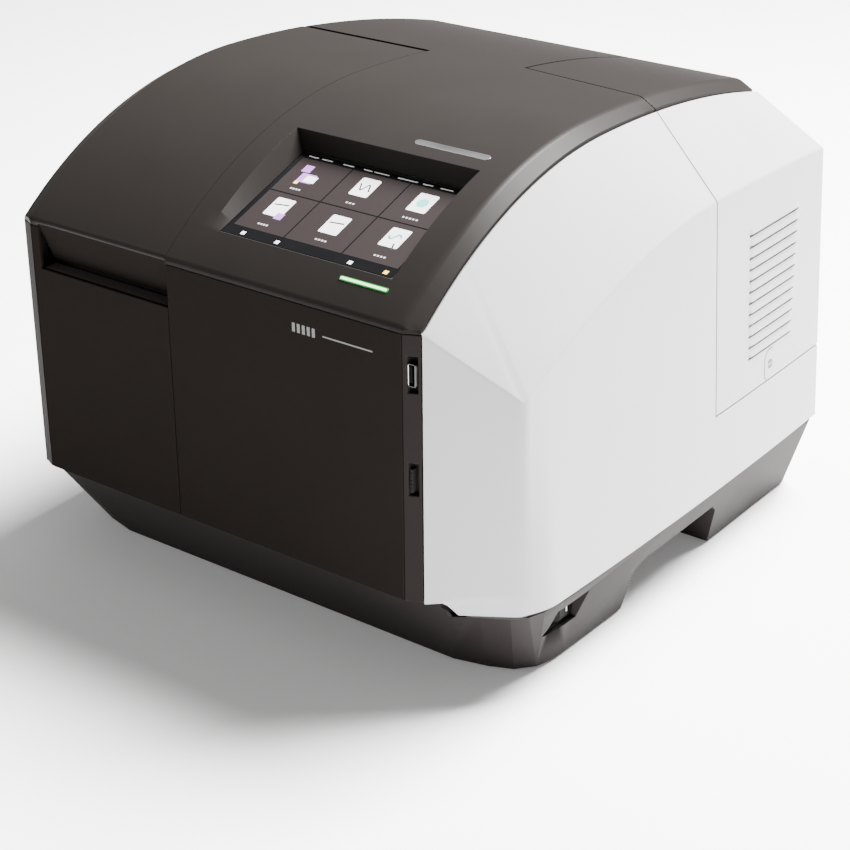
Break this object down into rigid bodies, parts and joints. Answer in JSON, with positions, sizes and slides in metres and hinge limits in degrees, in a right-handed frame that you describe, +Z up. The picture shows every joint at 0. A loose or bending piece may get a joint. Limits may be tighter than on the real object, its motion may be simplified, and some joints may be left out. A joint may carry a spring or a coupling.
{
  "type": "spectrophotometer",
  "caption": "Bench spectrophotometer: arched dark cover with tilted touch screen, hinged sample lid, white side panels, lamp cover and full optical train inside.",
  "frame": {"origin": "on the bench, under the middle of the instrument's box", "axes": "+Z up, the front faces -Y, +X is the lamp side with the power switch"},
  "size_m": [0.45, 0.43, 0.34],
  "materials": {
    "dark_shell": "fine satin texture",
    "dark_front": "fine satin texture",
    "dark_base": "moulded, fine texture",
    "white_cover": "satin, very fine texture",
    "black_plastic": "moulded",
    "rubber": "matte",
    "display_glass": "polished cover glass over a colour display",
    "quartz_glass": "clear",
    "mirror": "polished",
    "steel": "brushed",
    "cast_aluminium": "sand cast, painted",
    "sheet_metal": "fine powder coat",
    "circuit_board": "solder mask",
    "led_green": "lit diffuser"
  },
  "bodies": {
    "root": {"base_tray": "dark_base", "foot_front_left": "rubber", "foot_front_right": "rubber", "foot_rear_left": "rubber", "foot_rear_right": "rubber", "switch_frame": "black_plastic", "right_side_panel": "white_cover", "left_side_panel": "white_cover", "top_shell": "dark_shell", "led_bar": "led_green", "lid_hinge_pin": "steel", "lid_hinge_bracket_left": "steel", "lid_hinge_bracket_right": "steel", "screen_bezel": "black_plastic", "touch_screen": "display_glass", "display_module": "sheet_metal", "front_panel_right": "dark_front", "corner_strip_right": "dark_shell", "corner_strip_left": "dark_shell", "usb_port": "steel", "rear_panel": "sheet_metal", "power_inlet": "black_plastic", "rear_ports": "steel", "fan_frame": "black_plastic", "fan_guard": "steel", "sample_tub": "black_plastic", "window_frame_left": "black_plastic", "window_frame_right": "black_plastic", "cell_rails": "cast_aluminium", "optical_deck": "cast_aluminium", "monochromator_housing": "cast_aluminium", "monochromator_cover": "sheet_metal", "grating_motor": "steel", "collimating_mirror": "mirror", "focusing_mirror": "mirror", "entrance_slit": "black_plastic", "filter_motor": "steel", "detector_block": "cast_aluminium", "detector_board": "circuit_board", "lamp_housing": "sheet_metal", "deuterium_lamp": "quartz_glass", "halogen_lamp": "quartz_glass", "mirror_motor": "steel", "main_board": "circuit_board", "power_supply": "sheet_metal"},
    "sample_lid": {"sample_lid": "dark_shell", "lid_liner": "black_plastic", "lid_seal": "rubber"},
    "front_panel_left": {"front_panel_left": "dark_front"},
    "lamp_cover": {"lamp_cover_side": "white_cover", "lamp_cover_top": "dark_shell"},
    "cover_screw": {"cover_screw": "steel"},
    "power_rocker": {"power_rocker": "black_plastic"},
    "fan_rotor": {"fan_rotor": "black_plastic"},
    "cell_holder": {"cell_holder": "black_plastic"},
    "grating_mount": {"grating_mount": "cast_aluminium", "grating": "mirror"},
    "filter_wheel": {"filter_wheel": "black_plastic"},
    "lamp_mirror": {"lamp_mirror": "mirror"},
    "panel_latch": {"panel_latch": "black_plastic"}
  },
  "joints": [
    {"name": "lid_hinge", "type": "hinge", "parent": "root", "child": "sample_lid", "pos_m": [-0.095, 0.0605, 0.33083], "axis": [-1, 0, 0], "range_deg": [0, 75]},
    {"name": "front_panel_pull", "type": "slide", "parent": "root", "child": "front_panel_left", "axis": [0, -1, 0], "range_m": [0, 0.06]},
    {"name": "lamp_cover_pull", "type": "slide", "parent": "root", "child": "lamp_cover", "axis": [1, 0, 0], "range_m": [0, 0.09]},
    {"name": "cover_screw_turn", "type": "hinge", "parent": "lamp_cover", "child": "cover_screw", "pos_m": [0.218, 0.135, 0.132], "axis": [1, 0, 0], "range_deg": [0, 90]},
    {"name": "power_rocker_tip", "type": "hinge", "parent": "root", "child": "power_rocker", "pos_m": [0.205, -0.118, 0.043], "axis": [0, 0, 1], "range_deg": [0, 12]},
    {"name": "fan_spin", "type": "hinge", "parent": "root", "child": "fan_rotor", "pos_m": [0.118, 0.191, 0.19], "axis": [0, 1, 0], "continuous": true},
    {"name": "cell_holder_lift", "type": "slide", "parent": "root", "child": "cell_holder", "axis": [0, 0, 1], "range_m": [0, 0.09]},
    {"name": "grating_turn", "type": "hinge", "parent": "root", "child": "grating_mount", "pos_m": [0.1, -0.141, 0.115], "axis": [0, 0, 1], "range_deg": [-20, 45]},
    {"name": "filter_wheel_turn", "type": "hinge", "parent": "root", "child": "filter_wheel", "pos_m": [0.12, 0.021, 0.128], "axis": [0, 1, 0], "continuous": true},
    {"name": "lamp_mirror_turn", "type": "hinge", "parent": "root", "child": "lamp_mirror", "pos_m": [0.12, 0.125, 0.121], "axis": [0, 0, 1], "range_deg": [0, 60]},
    {"name": "panel_latch_slide", "type": "slide", "parent": "root", "child": "panel_latch", "axis": [0, 0, 1], "range_m": [0, 0.005]}
  ]
}
